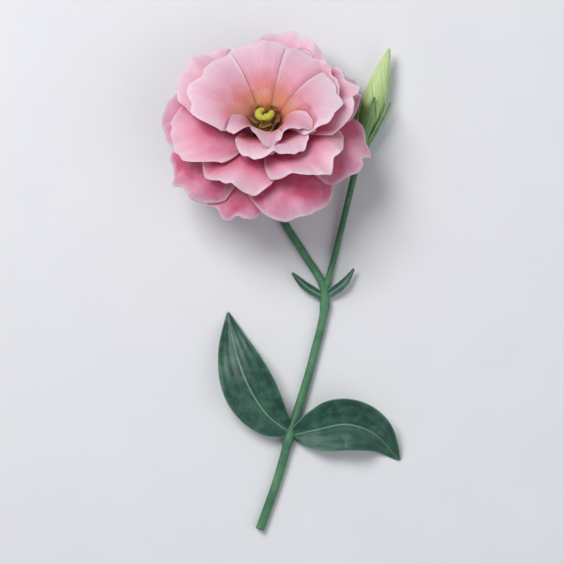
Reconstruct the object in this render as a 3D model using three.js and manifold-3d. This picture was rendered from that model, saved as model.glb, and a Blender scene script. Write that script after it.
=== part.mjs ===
// A cut stem of lisianthus with one open double bloom, one side bud and a pair of leaves, lying on a flat
// surface. Millimetres, +Z up, +Y towards the top of the flower, origin under the middle of the whole piece.
import * as THREE from "three";
import { mergeVertices } from "three/addons/utils/BufferGeometryUtils.js";
import Module from "manifold-3d";

const wasm = await Module();
wasm.setup();

// Driving dimensions
const BLOOM_TILT = 53; // degrees from the surface up to the bloom's axis
const BLOOM_LEAN = 5; // degrees that the bloom's axis leans to the left
const ROOT_HEIGHT = 20.5; // height of the petals' root above the surface
const PETAL_THICKNESS = 0.7;
const PETAL_ROWS = 8; // faces along a petal, and across it
const PETAL_COLUMNS = 12;
const LEAF_THICKNESS = 0.8;
const STEM_RADIUS = 1.75;
const PEDICEL_RADIUS = 1.45;
const TOUCH_GAP = 0.3; // left between two pieces that meet
const CONTACT_BAND = 0.16; // skin this near the surface lies flat on it
const PRESS_BLEND = 0.6; // height over which a blade that sinks towards the surface turns to lie along it

const radians = THREE.MathUtils.degToRad;
const clamp = THREE.MathUtils.clamp;
const smoothMax = (a, b, blend) => (a + b + Math.hypot(a - b, blend)) / 2;

// The bloom's own frame: origin at the petals' root, Z along the flower's axis, Y away from the stem.
const bloomTurn = new THREE.Quaternion()
  .setFromAxisAngle(new THREE.Vector3(0, 0, 1), radians(BLOOM_LEAN))
  .multiply(
    new THREE.Quaternion().setFromAxisAngle(new THREE.Vector3(1, 0, 0), radians(BLOOM_TILT - 90)),
  );
const upInBloom = new THREE.Vector3(0, 0, 1).applyQuaternion(bloomTurn.clone().invert());

// Petal sheets. Openness 0 is the inner cup and 1 the flat outer ring. Sheets of different openness never
// meet, so each petal is a patch of one, and a petal that covers earlier ones is pushed outside them.
const ROOT_RADIUS = 3.2; // of the cone that the petals grow from, at openness 0
const ROOT_RADIUS_GAIN = 2.6;
const ROOT_TOP = 7;
const ROOT_DROP = 6;
const SHEET_REACH = 40; // length over which the lean below is given
const SHEET_STEPS = 8;
const SHEET_BLEND = 0.03; // openness over which one sheet passes into another
const LAYER_GAP = 1.5; // from one petal's middle surface to the next, where neither is ruffled
const RUFFLE_ROOM = 3; // how much more of it a ruffled petal takes
const ROOT_GAP = 1.25; // the same gap at the petals' root
const GAP_RISE = 20; // length over which it grows from one to the other
const LAYER_FALL = 0.2; // how steeply a petal may drop past the edge of one that it covers
const ROOT_FALL = 1.6; // more of the same near the root, where petals are narrow
const FLARE_FADE = 12; // how far past a petal's edge its flare and ruffles still press the next ones out
const CLAW = 0.1; // width of a petal's root as a share of its full width
const WIDEST_AT = 0.8;
const MOST_WRAP = 1.7; // radians each side of a petal's midrib
const CORNER_POWER = 3.6;
const SCALLOP = 0.015; // of a petal's length
const TIP_POINT = 0.045;
const END_CORNER = 0.34; // how much shorter the bowl's wall is at its two free ends

function leanFromAxis(openness, along) {
  const x = along / SHEET_REACH;
  const inner = 12 + 56 * x - 28 * x * x;
  return radians(inner + openness * (50 + 25 * x + 5 * x * x));
}

function sheetPoint(openness, along) {
  let radius = ROOT_RADIUS + ROOT_RADIUS_GAIN * openness;
  let height = ROOT_TOP - ROOT_DROP * openness;
  for (let i = 0; i < SHEET_STEPS; i++) {
    const lean = leanFromAxis(openness, ((i + 0.5) / SHEET_STEPS) * along);
    radius += (Math.sin(lean) * along) / SHEET_STEPS;
    height += (Math.cos(lean) * along) / SHEET_STEPS;
  }
  return { radius, height };
}

// One row for each petal, from the innermost outwards: the direction of its midrib in degrees, its openness,
// length and half width, the share of its length by which it is shorter at its sides, how far its tip, its
// sides and one side alone open further, and its edge waves. The first two and the seventh are short ruffled
// petals at the bowl's front.
const PETALS = [
  // around, open, length, half, corner, tip, sides, skew, waves, phase, ruffle
  [-119, 0.13, 20, 10, 0.2, 0.1, 0.02, 0.02, 1.5, 4.5, 0.2],
  [-60, 0.17, 21, 12, 0.26, 0.12, 0, 0.14, 1.6, 4.4, 0.15],
  [160, 0.24, 31, 20, 0.04, 0.14, 0, 0.03, 1.9, 0.3, 0.035],
  [-6, 0.28, 30, 17, 0.08, 0.14, 0, 0.03, 2, 1.9, 0.03],
  [30, 0.27, 31, 17, 0.03, 0.14, 0, 0.03, 1.7, 5.2, 0.035],
  [88, 0.27, 31.5, 19, 0.03, 0.14, 0, 0.02, 1.7, 4.2, 0.035],
  [-82, 0.35, 25, 15, 0.2, 0.1, 0.02, 0.02, 1.8, 5, 0.08],
  [68, 0.46, 37, 19, 0.26, 0.04, 0.03, 0.04, 2, 0.5, 0.05],
  [136, 0.5, 36.5, 19, 0.26, 0.04, 0.03, 0.04, 1.9, 4.5, 0.05],
  [14, 0.54, 34, 18, 0.26, 0.06, 0.04, 0.04, 2, 1.2, 0.06],
  [190, 0.6, 34, 18, 0.26, 0.06, 0.04, 0.04, 1.9, 5.6, 0.08],
  [-50, 0.63, 31, 18, 0.26, 0.08, 0.05, 0.04, 2, 2.2, 0.08],
  [-124, 0.7, 29, 17, 0.26, 0.08, 0.05, 0.04, 1.9, 4, 0.1],
  [36, 0.82, 37, 18.5, 0.26, 0.08, 0.05, 0.04, 2, 3, 0.05],
  [154, 0.84, 37, 19, 0.26, 0.08, 0.05, 0.04, 1.8, 5.2, 0.06],
  [97, 0.95, 38, 20, 0.3, 0.1, 0.04, 0.04, 1.7, 1, 0.045],
  [-16, 0.92, 34, 18, 0.26, 0.12, 0.05, 0.04, 1.9, 0.2, 0.07],
  [204, 0.94, 34, 17, 0.26, 0.12, 0.05, 0.04, 1.9, 3, 0.05],
  [-72, 1, 32, 18, 0.26, 0.14, 0.05, 0.04, 1.9, 4.5, 0.07],
  [-122, 1.08, 30, 15.5, 0.26, 0.14, 0.05, 0.04, 1.8, 1.6, 0.05],
].map(([around, open, length, half, corner, tip, sides, skew, waves, phase, ruffle]) => ({
  around: radians(around),
  open,
  length,
  half,
  corner,
  tip,
  sides,
  skew,
  waves,
  phase,
  ruffle,
  free: 0,
}));
const WALL = PETALS.slice(2, 6); // the petals of the bowl's wall, with straight sides
WALL[0].free = 1; // the side on which a petal ends the wall
WALL[1].free = -1;

const petalWidth = (petal, along) => {
  if (WALL.includes(petal)) {
    const rim = sheetPoint(petal.open, petal.length).radius;
    return (petal.half * sheetPoint(petal.open, along).radius) / rim;
  }
  const rise = Math.sin((clamp(along / (WIDEST_AT * petal.length), 0, 1) * Math.PI) / 2);
  return petal.half * (CLAW + (1 - CLAW) * rise ** 1.5);
};
const cornerAt = (petal, across) => (across * petal.free > 0 ? END_CORNER : petal.corner);
const petalLength = (petal, across) => {
  const side = Math.min(Math.abs(across), 1.2) ** CORNER_POWER;
  const scallop = SCALLOP * Math.sin(petal.waves * 1.9 * across * Math.PI + petal.phase);
  const point = TIP_POINT * Math.max(1 - Math.abs(across) * 4.5, 0);
  return petal.length * (1 - cornerAt(petal, across) * side + scallop + point);
};
const wrapRadius = (petal, along) =>
  Math.max(sheetPoint(petal.open, along).radius, petalWidth(petal, along) / MOST_WRAP);

// Shares of a petal's length and half width at a direction and a distance along the sheet, and the distance
// in millimetres by which that place lies outside the petal.
function placeInPetal(petal, around, along) {
  let turn = (around - petal.around) % (2 * Math.PI);
  if (turn > Math.PI) turn -= 2 * Math.PI;
  if (turn < -Math.PI) turn += 2 * Math.PI;
  const half = petalWidth(petal, along);
  const across = (turn * wrapRadius(petal, along)) / half;
  const inside = clamp(across, -1, 1);
  const length = petalLength(petal, inside);
  const corner = cornerAt(petal, inside) * CORNER_POWER * Math.abs(inside) ** (CORNER_POWER - 1);
  const pastTip = (along - length) / Math.hypot(1, (corner * petal.length) / half);
  const outside = Math.max((Math.abs(across) - 1) * half, pastTip, 0);
  return { share: Math.min(along / length, 1.1), across: clamp(across, -1.1, 1.1), outside };
}

function ownOpenness(petal, share, across) {
  const edge = share ** 2.4 * (0.6 + 0.4 * across * across);
  return (
    petal.open +
    petal.tip * share ** 3 +
    petal.sides * Math.abs(across) ** 3 * share +
    petal.skew * across * share +
    petal.ruffle * edge * Math.sin(petal.waves * Math.PI * across + petal.phase)
  );
}

// Millimetres between two sheets whose openness differs by one.
const sheetSpread = (along) => 4.5 + 0.95 * along;

// Openness of the sheet that clears the first petals, up to a count, at one place.
function clearOf(count, around, along) {
  const spread = sheetSpread(along);
  const fall = LAYER_FALL + ROOT_FALL / (1 + along);
  const rise = THREE.MathUtils.smoothstep(along, 0, GAP_RISE);
  let clear = -1;
  for (const petal of PETALS.slice(0, count)) {
    const { share, across, outside } = placeInPetal(petal, around, along);
    const flare = (ownOpenness(petal, share, across) - petal.open) * Math.exp(-outside / FLARE_FADE);
    const openness = smoothMax(petal.open + flare, clear, SHEET_BLEND);
    const gap = THREE.MathUtils.lerp(ROOT_GAP, LAYER_GAP * (1 + RUFFLE_ROOM * petal.ruffle), rise);
    clear = Math.max(clear, openness + (gap - fall * outside) / spread);
  }
  return clear;
}

function petalOpenness(index, around, along) {
  const { share, across } = placeInPetal(PETALS[index], around, along);
  return smoothMax(ownOpenness(PETALS[index], share, across), clearOf(index, around, along), SHEET_BLEND);
}

// Petals that reach the surface lie along it, and the skin that meets it is flat.
function pressed(point) {
  const height = ROOT_HEIGHT + point.dot(upInBloom);
  const raised = smoothMax(height, PETAL_THICKNESS / 2, PRESS_BLEND);
  return point.addScaledVector(upInBloom, raised - height);
}
function petalSkin(point) {
  const height = ROOT_HEIGHT + point.dot(upInBloom);
  return height < CONTACT_BAND ? point.addScaledVector(upInBloom, -height) : point;
}

function petalPoint(index, share, across) {
  const petal = PETALS[index];
  const along = TOUCH_GAP + share * (petalLength(petal, across) - TOUCH_GAP);
  const around = petal.around + (across * petalWidth(petal, along)) / wrapRadius(petal, along);
  const { radius, height } = sheetPoint(petalOpenness(index, around, along), along);
  return pressed(
    new THREE.Vector3(radius * Math.cos(around), radius * Math.sin(around), height),
  );
}

// Shape builders
function closedGeometry(positions, triangles) {
  const geometry = new THREE.BufferGeometry();
  geometry.setAttribute("position", new THREE.Float32BufferAttribute(positions, 3));
  geometry.setIndex(triangles);
  return geometry;
}

// A thin closed blade round the surface pointAt(share, across), share 0 to 1 and across -1 to 1. Each point
// of its skin passes through skinAt.
function blade(pointAt, rows, columns, thickness, skinAt = (point) => point) {
  const positions = [];
  const step = 0.01;
  for (const side of [1, -1])
    for (let i = 0; i <= rows; i++)
      for (let j = 0; j <= columns; j++) {
        const share = i / rows;
        const across = (2 * j) / columns - 1;
        const ahead = pointAt(Math.min(share + step, 1), across);
        const behind = pointAt(Math.max(share - step, 0), across);
        const left = pointAt(share, Math.min(across + step, 1));
        const right = pointAt(share, Math.max(across - step, -1));
        const normal = ahead.sub(behind).cross(left.sub(right)).normalize();
        const point = pointAt(share, across).addScaledVector(normal, (side * thickness) / 2);
        positions.push(...skinAt(point).toArray());
      }
  const front = (i, j) => i * (columns + 1) + j;
  const back = (i, j) => front(i, j) + (rows + 1) * (columns + 1);
  const triangles = [];
  for (let i = 0; i < rows; i++)
    for (let j = 0; j < columns; j++) {
      triangles.push(front(i, j), front(i + 1, j), front(i + 1, j + 1));
      triangles.push(front(i, j), front(i + 1, j + 1), front(i, j + 1));
      triangles.push(back(i, j), back(i + 1, j + 1), back(i + 1, j));
      triangles.push(back(i, j), back(i, j + 1), back(i + 1, j + 1));
    }
  const rim = [];
  for (let j = 0; j < columns; j++) rim.push([0, j]);
  for (let i = 0; i < rows; i++) rim.push([i, columns]);
  for (let j = columns; j > 0; j--) rim.push([rows, j]);
  for (let i = rows; i > 0; i--) rim.push([i, 0]);
  rim.forEach(([i, j], n) => {
    const [k, l] = rim[(n + 1) % rim.length];
    triangles.push(front(i, j), front(k, l), back(k, l));
    triangles.push(front(i, j), back(k, l), back(i, j));
  });
  return closedGeometry(positions, triangles);
}

// A closed round limb along a smooth curve through points, with radiusAt(share, angle).
function limb(points, radiusAt, steps, sides) {
  const curve = new THREE.CatmullRomCurve3(points.map((p) => new THREE.Vector3(...p)));
  const frames = curve.computeFrenetFrames(steps, false);
  const positions = [];
  for (let i = 0; i <= steps; i++) {
    const centre = curve.getPointAt(i / steps);
    for (let j = 0; j < sides; j++) {
      const angle = (2 * Math.PI * j) / sides;
      const radius = radiusAt(i / steps, angle);
      const point = centre
        .clone()
        .addScaledVector(frames.normals[i], radius * Math.cos(angle))
        .addScaledVector(frames.binormals[i], radius * Math.sin(angle));
      positions.push(point.x, point.y, point.z);
    }
  }
  const first = positions.length / 3;
  positions.push(...curve.getPointAt(0).toArray(), ...curve.getPointAt(1).toArray());
  const triangles = [];
  const at = (i, j) => i * sides + (j % sides);
  for (let j = 0; j < sides; j++) {
    for (let i = 0; i < steps; i++) {
      triangles.push(at(i, j), at(i, j + 1), at(i + 1, j + 1));
      triangles.push(at(i, j), at(i + 1, j + 1), at(i + 1, j));
    }
    triangles.push(first, at(0, j + 1), at(0, j));
    triangles.push(first + 1, at(steps, j), at(steps, j + 1));
  }
  return closedGeometry(positions, triangles);
}

function solidOf(geometry) {
  const bare = geometry.clone();
  bare.deleteAttribute("normal");
  bare.deleteAttribute("uv");
  const merged = mergeVertices(bare, 1e-4);
  return new wasm.Manifold(
    new wasm.Mesh({
      numProp: 3,
      vertProperties: new Float32Array(merged.attributes.position.array),
      triVerts: new Uint32Array(merged.index.array),
    }),
  );
}

function geometryOf(solid) {
  const mesh = solid.getMesh();
  return closedGeometry(Array.from(mesh.vertProperties), Array.from(mesh.triVerts));
}

const joined = (...geometries) =>
  geometryOf(geometries.map(solidOf).reduce((whole, piece) => whole.add(piece)));

const lathe = (profile, sides) =>
  new THREE.LatheGeometry(
    profile.map(([radius, height]) => new THREE.Vector2(radius, height)),
    sides,
  ).rotateX(Math.PI / 2);

const placed = (geometry, [x, y, z], [turnX, turnY, turnZ] = [0, 0, 0]) =>
  geometry.applyMatrix4(
    new THREE.Matrix4()
      .makeRotationFromEuler(new THREE.Euler(turnX, turnY, turnZ, "ZYX"))
      .setPosition(x, y, z),
  );

const around = (count, first = 0) =>
  Array.from({ length: count }, (_, i) => first + (2 * Math.PI * i) / count);

// Groups and finishes
const flower = new THREE.Group();
const bloom = new THREE.Group();
bloom.position.set(0, 0, ROOT_HEIGHT);
bloom.quaternion.copy(bloomTurn);
flower.add(bloom);

const material = (colour, roughness) =>
  new THREE.MeshStandardMaterial({ color: colour, roughness, metalness: 0 });
const PETAL_PINK = material("#e6a9b8", 0.6);
const STEM_GREEN = material("#5f9468", 0.55);
const LEAF_GREEN = material("#4a7a63", 0.7);
const SEPAL_GREEN = material("#6d9c62", 0.6);
const BUD_GREEN = material("#c3d69c", 0.5);
const STIGMA_GREEN = material("#b9c04a", 0.5);
const ANTHER_YELLOW = material("#d9a441", 0.7);

function addPiece(parent, name, geometry, finish) {
  const mesh = new THREE.Mesh(geometry, finish);
  mesh.name = name;
  parent.add(mesh);
  return mesh;
}

// Petals
PETALS.forEach((_, index) => {
  const geometry = blade(
    (share, across) => petalPoint(index, share, across),
    PETAL_ROWS,
    PETAL_COLUMNS,
    PETAL_THICKNESS,
    petalSkin,
  );
  addPiece(bloom, `petal_${String(index + 1).padStart(2, "0")}`, geometry, PETAL_PINK);
});

// Receptacle: the cone that the petals grow from
const RECEPTACLE_INSET = 0.55;
const RECEPTACLE_FOOT = -0.8;
addPiece(
  bloom,
  "receptacle",
  lathe(
    [
      [0, RECEPTACLE_FOOT],
      [ROOT_RADIUS + 1.25 * ROOT_RADIUS_GAIN - RECEPTACLE_INSET, RECEPTACLE_FOOT],
      [ROOT_RADIUS - RECEPTACLE_INSET, ROOT_TOP],
      [0, ROOT_TOP],
    ],
    20,
  ),
  SEPAL_GREEN,
);

// Calyx: a cup under the receptacle with five slender keeled sepals along the backs of the outer petals
const CUP_FOOT = -7;
const SEPAL_LENGTH = 21;
const SEPAL_ROOT = -1.6; // where a sepal starts, inside the cup
const SEPAL_OPENNESS = 1.3; // at the least
const SEPAL_GAP = 0.075; // openness between a sepal and the petals over it
const SEPAL_ROWS = 8;
const SEPAL_COLUMNS = 2;
const KEEL = 0.5;
const CALYX_SIDES = 20;
const sepalHalf = (share) => 0.3 + 1.4 * (1 - share) + 0.9 * Math.sin(Math.PI * share);

function sepalPoint(around, share, across) {
  const along = SEPAL_ROOT + share * SEPAL_LENGTH;
  const reach = Math.max(along, 0.3);
  const keel = (KEEL * (1 - Math.abs(across))) / sheetSpread(reach);
  const clear = smoothMax(SEPAL_OPENNESS, clearOf(PETALS.length, around, reach), 0.05);
  const openness = SEPAL_GAP + clear + keel + 0.15 * share ** 2;
  const { radius, height } = sheetPoint(openness, along);
  const turn = around + (across * sepalHalf(share)) / radius;
  return pressed(new THREE.Vector3(radius * Math.cos(turn), radius * Math.sin(turn), height));
}

const cup = lathe(
  [
    [0, CUP_FOOT],
    [2.1, CUP_FOOT],
    [3.7, -5.4],
    [5.6, -3.2],
    [6.2, -2],
    [5.9, RECEPTACLE_FOOT - TOUCH_GAP],
    [0, RECEPTACLE_FOOT - TOUCH_GAP],
  ],
  CALYX_SIDES,
);
const sepals = around(5, radians(18)).map((turn) =>
  blade((share, across) => sepalPoint(turn, share, across), SEPAL_ROWS, SEPAL_COLUMNS, PETAL_THICKNESS),
);
addPiece(bloom, "calyx", joined(cup, ...sepals), SEPAL_GREEN);

// Pistil: ovary, style and a stigma of two plump lobes
const OVARY_FOOT = ROOT_TOP + TOUCH_GAP;
const STIGMA_HEIGHT = 15.4;
const ovary = lathe(
  [
    [0, OVARY_FOOT],
    [1.3, OVARY_FOOT],
    [1.8, OVARY_FOOT + 2],
    [1.5, OVARY_FOOT + 4.2],
    [0.75, OVARY_FOOT + 5.6],
    [0.7, STIGMA_HEIGHT],
    [0, STIGMA_HEIGHT],
  ],
  12,
);
const stigmaLobes = [-1, 1].map((side) =>
  placed(
    new THREE.SphereGeometry(1, 10, 7).scale(2.3, 3, 1.3),
    [side * 1.9, 0, STIGMA_HEIGHT + 0.2],
    [0, side * radians(-24), side * radians(14)],
  ),
);
addPiece(bloom, "pistil", joined(ovary, ...stigmaLobes), STIGMA_GREEN);

// Stamens: a ring round the ovary's foot with five filaments, each with a long anther across its tip
const filament = (turn) =>
  limb(
    [
      [2.45, 0, OVARY_FOOT + 0.3],
      [3.1, 0, 10.4],
      [4.9, 0, 14.2],
    ],
    () => 0.42,
    3,
    5,
  ).rotateZ(turn);
const anther = (turn) =>
  placed(
    new THREE.SphereGeometry(1, 7, 5).scale(0.8, 2.1, 0.8),
    [4.9, 0, 14.4],
    [0, radians(-30), radians(18)],
  ).rotateZ(turn);
const stamenRing = lathe(
  [
    [2.05, OVARY_FOOT],
    [2.75, OVARY_FOOT],
    [2.75, OVARY_FOOT + 0.7],
    [2.05, OVARY_FOOT + 0.7],
    [2.05, OVARY_FOOT],
  ],
  20,
);
const stamenTurns = around(5, radians(54));
addPiece(
  bloom,
  "stamens",
  joined(stamenRing, ...stamenTurns.map(filament), ...stamenTurns.map(anther)),
  ANTHER_YELLOW,
);

// Stem: the cut main stem runs into the bloom's stalk, and the bud's stalk leaves it at the fork
const bloomAxis = new THREE.Vector3(0, 0, 1).applyQuaternion(bloomTurn);
const belowBloom = (distance) =>
  new THREE.Vector3(0, 0, ROOT_HEIGHT).addScaledVector(bloomAxis, -distance).toArray();
const BUD_FOOT = new THREE.Vector3(36.5, 0, 6.7);
const BUD_TIP = new THREE.Vector3(47, 36, 6.3);
const budAxis = BUD_TIP.clone().sub(BUD_FOOT).normalize();
const BUD_CUP_LENGTH = 5;
const FORK = [22, -58, 2.2];
const LEAF_NODE = [9, -112, 2.3];
const STEM_END = [-3, -150, STEM_RADIUS + 0.05];
const mainPath = [
  STEM_END,
  [4, -130, 1.9],
  LEAF_NODE,
  [17.5, -84, 1.9],
  FORK,
  [14, -43, 1.7],
  [6, -30, 2],
  [2.2, -20, 4],
  [0.9, -12, 8.2],
  belowBloom(10.5),
  belowBloom(-CUP_FOOT + TOUCH_GAP),
];
const budPath = [
  FORK,
  [26.5, -42, 2.1],
  [30.6, -25, 3.6],
  [33.6, -12, 5.6],
  BUD_FOOT.clone().addScaledVector(budAxis, -BUD_CUP_LENGTH - TOUCH_GAP).toArray(),
];
const LEAF_NODE_SHARE = 0.233; // where the stem swells, as shares of its length
const FORK_SHARE = 0.575;
const swelling = (share, place) => Math.exp(-(((share - place) / 0.018) ** 2));
const stemRadius = (share) =>
  THREE.MathUtils.lerp(STEM_RADIUS, PEDICEL_RADIUS, share) *
  (1 + 0.3 * swelling(share, LEAF_NODE_SHARE) + 0.3 * swelling(share, FORK_SHARE));
const stalkRadius = (share) => 1.2 + 0.25 * swelling(share, 0) + 0.2 * share ** 6;
addPiece(
  flower,
  "stem",
  joined(limb(mainPath, stemRadius, 44, 8), limb(budPath, stalkRadius, 16, 8)),
  STEM_GREEN,
);

// Leaves and bracts: pointed blades folded a little along the midrib, with waved edges
function leafPoint(leaf, share, across) {
  const curve = new THREE.CatmullRomCurve3(leaf.path.map((p) => new THREE.Vector3(...p)));
  const middle = curve.getPointAt(share);
  const ahead = curve.getTangentAt(share);
  const flatAcross = new THREE.Vector3(-ahead.y, ahead.x, 0).normalize();
  const up = new THREE.Vector3().crossVectors(ahead, flatAcross);
  const rolled = flatAcross.applyAxisAngle(ahead, radians(leaf.roll * share));
  const half = leaf.half(share);
  const fold = leaf.fold * half * Math.abs(across) ** 1.6;
  const wave = leaf.wave * across * across * Math.sin(leaf.waves * Math.PI * share + across);
  middle.addScaledVector(rolled, across * half).addScaledVector(up, fold + wave);
  middle.z = smoothMax(middle.z, LEAF_THICKNESS / 2, PRESS_BLEND);
  return middle;
}
const leafSkin = (point) => (point.z < CONTACT_BAND ? point.setZ(0) : point);

const leafHalf = (share) =>
  0.45 + 1.2 * (1 - share) ** 4 + 9.6 * Math.abs(Math.sin(Math.PI * share ** 0.82));
const bractHalf = (share) => 0.4 + (1 - share) + 0.8 * Math.sin(Math.PI * share);
const LEAVES = [
  {
    name: "leaf_left",
    path: [
      [6.1, -111, 2.4],
      [0, -106, 5.6],
      [-6.5, -96, 7],
      [-12, -82, 4.6],
      [-15.5, -66, -0.4],
    ],
    half: leafHalf,
    roll: -10,
    fold: 0.28,
    wave: 0.9,
    waves: 5,
    rows: 14,
    columns: 6,
  },
  {
    name: "leaf_right",
    path: [
      [11.9, -113.3, 2.6],
      [20, -111, 4.6],
      [30.5, -109, 8],
      [41, -112.5, 6],
      [51, -123, -0.4],
    ],
    half: leafHalf,
    roll: 12,
    fold: 0.26,
    wave: 0.9,
    waves: 4.4,
    rows: 14,
    columns: 6,
  },
  {
    name: "bract_left",
    path: [
      [19, -58.6, 2.2],
      [14.5, -55.5, 3.6],
      [9.5, -50.5, 3.4],
    ],
    half: bractHalf,
    roll: 0,
    fold: 0.3,
    wave: 0.1,
    waves: 2,
    rows: 6,
    columns: 2,
  },
  {
    name: "bract_right",
    path: [
      [25, -58.6, 2.2],
      [29.5, -54.5, 3.8],
      [33.5, -49, 4],
    ],
    half: bractHalf,
    roll: 0,
    fold: 0.3,
    wave: 0.1,
    waves: 2,
    rows: 6,
    columns: 2,
  },
];
for (const leaf of LEAVES) {
  const geometry = blade(
    (share, across) => leafPoint(leaf, share, across),
    leaf.rows,
    leaf.columns,
    LEAF_THICKNESS,
    leafSkin,
  );
  addPiece(flower, leaf.name, geometry, LEAF_GREEN);
}

// Bud: a closed spindle of petals wound round each other, held by a cup with five sepals
const bud = new THREE.Group();
bud.position.copy(BUD_FOOT);
bud.quaternion.setFromUnitVectors(new THREE.Vector3(0, 0, 1), budAxis);
flower.add(bud);
const BUD_LENGTH = BUD_TIP.distanceTo(BUD_FOOT);
const budOutline = new THREE.SplineCurve(
  [
    [0, 1.9],
    [0.12, 3.2],
    [0.35, 4.3],
    [0.6, 3.9],
    [0.8, 2.5],
    [0.94, 1.2],
    [1, 0.5],
  ].map(([share, radius]) => new THREE.Vector2(share, radius)),
);
const budRadius = (share) => {
  const at = clamp(share, 0, 1);
  return budOutline.getPoints(60).reduce((best, point) =>
    Math.abs(point.x - at) < Math.abs(best.x - at) ? point : best,
  ).y;
};
const woundRadius = (share, angle) =>
  budRadius(share) * (1 + 0.05 * Math.cos(3 * angle - 5 * share));
addPiece(
  bud,
  "bud",
  limb(
    [
      [0, 0, 0],
      [0, 0, BUD_LENGTH / 2],
      [0, 0, BUD_LENGTH],
    ],
    woundRadius,
    16,
    12,
  ),
  BUD_GREEN,
);

const BUD_SEPAL_LENGTH = 19;
const BUD_SEPAL_ROOT = -1.5;
function budSepalPoint(turn, share, across) {
  const along = BUD_SEPAL_ROOT + share * BUD_SEPAL_LENGTH;
  const clearance = 0.85 + 0.4 * (1 - Math.abs(across)) + 1.1 * share ** 3;
  const radius = 1.05 * budRadius(along / BUD_LENGTH) + clearance;
  const angle = turn + (across * sepalHalf(share)) / radius;
  return new THREE.Vector3(radius * Math.cos(angle), radius * Math.sin(angle), along);
}
const budCup = lathe(
  [
    [0, -BUD_CUP_LENGTH],
    [1.5, -BUD_CUP_LENGTH],
    [2.3, -3.6],
    [3.3, -1.6],
    [3.4, -TOUCH_GAP],
    [0, -TOUCH_GAP],
  ],
  16,
);
const budSepals = around(5, radians(36)).map((turn) =>
  blade((share, across) => budSepalPoint(turn, share, across), SEPAL_ROWS, SEPAL_COLUMNS, PETAL_THICKNESS),
);
addPiece(bud, "bud_calyx", joined(budCup, ...budSepals), SEPAL_GREEN);

// The origin lies on the surface under the middle of the whole piece.
const bounds = new THREE.Box3().setFromObject(flower, true);
const centre = bounds.getCenter(new THREE.Vector3());
flower.position.set(-centre.x, -centre.y, -bounds.min.z);

export default flower;
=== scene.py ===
"""Looks of a cut lisianthus stem with one double bloom, a side bud and a pair of leaves, lying on a surface.

Shapes are worked out in millimetres in the part's layout, whose origin is under the bloom's root, and moved
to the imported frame, in metres, at the end.
"""

import math
from typing import Callable, NamedTuple

import bpy
import numpy as np
from numpy import cos, exp, pi, sin
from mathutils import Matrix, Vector
from mathutils.kdtree import KDTree


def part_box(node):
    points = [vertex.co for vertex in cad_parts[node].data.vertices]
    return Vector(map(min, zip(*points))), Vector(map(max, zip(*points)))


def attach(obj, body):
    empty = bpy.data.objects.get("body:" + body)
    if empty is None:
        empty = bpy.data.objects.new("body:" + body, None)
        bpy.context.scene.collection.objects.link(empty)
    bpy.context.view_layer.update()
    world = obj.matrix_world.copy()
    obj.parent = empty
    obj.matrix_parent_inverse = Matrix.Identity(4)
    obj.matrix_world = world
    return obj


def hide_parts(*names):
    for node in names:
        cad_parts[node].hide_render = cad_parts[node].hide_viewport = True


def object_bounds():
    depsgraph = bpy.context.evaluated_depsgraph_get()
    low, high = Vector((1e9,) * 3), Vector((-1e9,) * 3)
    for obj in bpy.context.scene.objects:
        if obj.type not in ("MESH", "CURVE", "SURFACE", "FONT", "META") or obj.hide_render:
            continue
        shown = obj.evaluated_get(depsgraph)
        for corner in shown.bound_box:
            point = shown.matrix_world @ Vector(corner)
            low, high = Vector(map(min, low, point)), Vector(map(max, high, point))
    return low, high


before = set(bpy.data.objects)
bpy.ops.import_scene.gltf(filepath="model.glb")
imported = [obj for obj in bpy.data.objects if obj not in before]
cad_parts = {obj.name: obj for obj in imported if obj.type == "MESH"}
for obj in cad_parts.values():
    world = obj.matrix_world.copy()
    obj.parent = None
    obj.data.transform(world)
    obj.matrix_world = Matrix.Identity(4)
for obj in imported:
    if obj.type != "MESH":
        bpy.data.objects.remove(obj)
cad_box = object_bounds()

MM = 0.001

# The bloom's place in the layout: its root's height above the surface, and its axis
BLOOM_TILT = 53  # degrees from the surface up to the bloom's axis
BLOOM_LEAN = 5  # degrees that the bloom's axis leans to the left
ROOT_HEIGHT = 20.5

# The sheets that petals are patches of, as in the part
ROOT_RADIUS = 3.2
ROOT_RADIUS_GAIN = 2.6
ROOT_TOP = 7
ROOT_DROP = 6
SHEET_REACH = 40
SHEET_STEPS = 8
LEAN = (12, 56, -28)  # a closed sheet's lean from the axis, in degrees, and how it changes along the sheet
LEAN_GAIN = (50, 25, 5)  # what an open one adds
SPREAD = (4.5, 0.95)  # millimetres to a sheet that is a unit more open, at the root and for each one along
OPENNESS_BLEND = 0.03
LAYER_GAP = 0.5
LAYER_GAP_GAIN = 0.5  # what an open petal adds to it
RUFFLE_ROOM = 3  # how much more of it a ruffled petal takes
ROOT_GAP = 0.5  # the same near the root
ROOT_ZONE = 20  # how far along the one gap turns to the other
LAYER_FALL = 0.45
ROOT_FALL = 1.6
FLARE_FADE = 8  # how far past a petal's edge its own flare and ruffles still press the next ones out
CLAW = 0.1  # a petal's width at its root, as a share of its greatest
LIP_CLAW = 0.3  # the same for the short petals at the bowl's front, which close the throat
WIDEST_AT = 0.8
MOST_WRAP = 1.7
CORNER_POWER = 3.6
END_CORNER = 0.34  # how much shorter the bowl's wall is at its two free ends
TOUCH_GAP = 0.3

# The receptacle in the part, and how far outside the petals' roots it is shown, at its foot and its top
RECEPTACLE_FOOT = -0.8
RECEPTACLE_OPENNESS = 1.25
RECEPTACLE_INSET = 0.55
RECEPTACLE_SIDES = 20
RECEPTACLE_GROWTH = (0.45, 0.16)

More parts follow.
